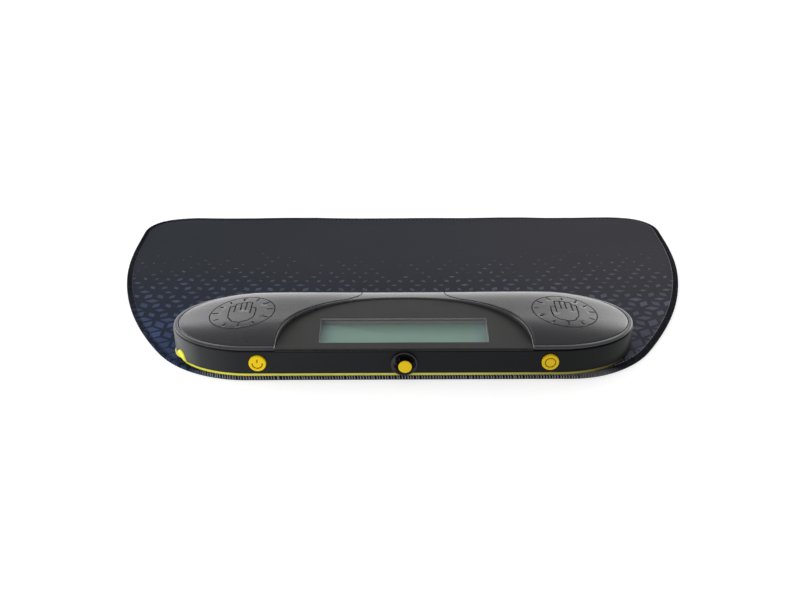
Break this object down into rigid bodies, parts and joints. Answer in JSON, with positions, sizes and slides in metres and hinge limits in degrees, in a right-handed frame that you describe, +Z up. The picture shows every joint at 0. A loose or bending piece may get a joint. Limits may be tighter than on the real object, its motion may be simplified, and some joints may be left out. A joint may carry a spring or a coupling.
{
  "type": "speed puzzle timer",
  "caption": "Desk timer with a hand pad at each end, a display between them and push buttons in front, clipped onto a stitched cloth mat with a rubber back.",
  "frame": {"origin": "on the floor under the middle of the whole object's bounding box, mat included", "axes": "+X to the user's right along the timer, +Y away from the user over the mat, +Z up"},
  "size_m": [0.433, 0.255, 0.0286],
  "materials": {
    "mat_rubber": "matte, fine open-cell texture",
    "mat_cloth": "smooth knitted cloth with a printed rhombus pattern",
    "mat_thread": "slanted overlock stitches",
    "plated_steel": "nickel plated",
    "base_plastic": "fine spark texture",
    "foot_rubber": "matte",
    "ring_plastic": "satin moulded yellow",
    "wall_plastic": "satin with fine texture",
    "cover_plastic": "satin with fine texture",
    "panel_plastic": "semi-matte warm grey",
    "window_clear": "clear polished",
    "lcd_glass": "grey-green reflective liquid crystal glass",
    "contact_rubber": "layered conductive rubber",
    "circuit_board": "green solder mask",
    "chip_resin": "moulded resin",
    "bezel_gloss": "polished black",
    "ribbon": "flat ribbed insulation",
    "cell_sleeve": "plain printed sleeve",
    "pad_plastic": "satin with fine texture and engraved hand marks",
    "natural_plastic": "natural moulding",
    "button_plastic": "satin-gloss yellow"
  },
  "bodies": {
    "mat": {"mat_rubber_base": "mat_rubber", "mat_cloth": "mat_cloth", "mat_edge_stitching": "mat_thread", "mat_snap_studs": "plated_steel", "mat_snap_washers": "plated_steel"},
    "timer": {"bottom_plate": "base_plastic", "rubber_feet": "foot_rubber", "base_ring": "ring_plastic", "lift_tab": "ring_plastic", "side_wall": "wall_plastic", "top_cover": "cover_plastic", "display_panel": "panel_plastic", "display_window": "window_clear", "lcd_glass": "lcd_glass", "lcd_frame": "base_plastic", "zebra_strip": "contact_rubber", "main_board": "circuit_board", "controller_chip": "chip_resin", "quartz_crystal": "plated_steel", "piezo_sounder": "chip_resin", "board_screws": "plated_steel", "switch_boards": "circuit_board", "power_switch": "chip_resin", "reset_switch": "chip_resin", "mode_switch": "chip_resin", "mode_bezel": "bezel_gloss", "left_pad_board": "circuit_board", "right_pad_board": "circuit_board", "left_pad_switch": "chip_resin", "right_pad_switch": "chip_resin", "pad_board_screws": "plated_steel", "ribbon_cables": "ribbon", "battery_box": "base_plastic", "batteries": "cell_sleeve", "battery_springs": "plated_steel", "battery_contacts": "plated_steel", "battery_door": "base_plastic", "battery_door_screw": "plated_steel", "case_screws": "plated_steel", "left_pad_springs": "plated_steel", "right_pad_springs": "plated_steel"},
    "left_pad": {"left_pad": "pad_plastic", "left_pad_guides": "natural_plastic"},
    "right_pad": {"right_pad": "pad_plastic", "right_pad_guides": "natural_plastic"},
    "power_button": {"power_button": "button_plastic", "power_plunger": "natural_plastic"},
    "reset_button": {"reset_button": "button_plastic", "reset_plunger": "natural_plastic"},
    "mode_button": {"mode_button": "button_plastic", "mode_plunger": "natural_plastic"}
  },
  "joints": [
    {"name": "timer_lift", "type": "slide", "parent": "mat", "child": "timer", "axis": [0, 0, 1], "range_m": [0, 0.04]},
    {"name": "left_pad_press", "type": "slide", "parent": "timer", "child": "left_pad", "axis": [0, 0, -1], "range_m": [0, 0.001], "stiffness_N_per_m": 1500, "springref_m": -0.001, "deforming": ["left_pad_springs"]},
    {"name": "right_pad_press", "type": "slide", "parent": "timer", "child": "right_pad", "axis": [0, 0, -1], "range_m": [0, 0.001], "stiffness_N_per_m": 1500, "springref_m": -0.001, "deforming": ["right_pad_springs"]},
    {"name": "power_button_press", "type": "slide", "parent": "timer", "child": "power_button", "axis": [0, 1, 0], "range_m": [0, 0.0008], "stiffness_N_per_m": 800, "springref_m": -0.0006},
    {"name": "reset_button_press", "type": "slide", "parent": "timer", "child": "reset_button", "axis": [0, 1, 0], "range_m": [0, 0.0008], "stiffness_N_per_m": 800, "springref_m": -0.0006},
    {"name": "mode_button_press", "type": "slide", "parent": "timer", "child": "mode_button", "axis": [0, 1, 0], "range_m": [0, 0.0008], "stiffness_N_per_m": 800, "springref_m": -0.0006}
  ]
}
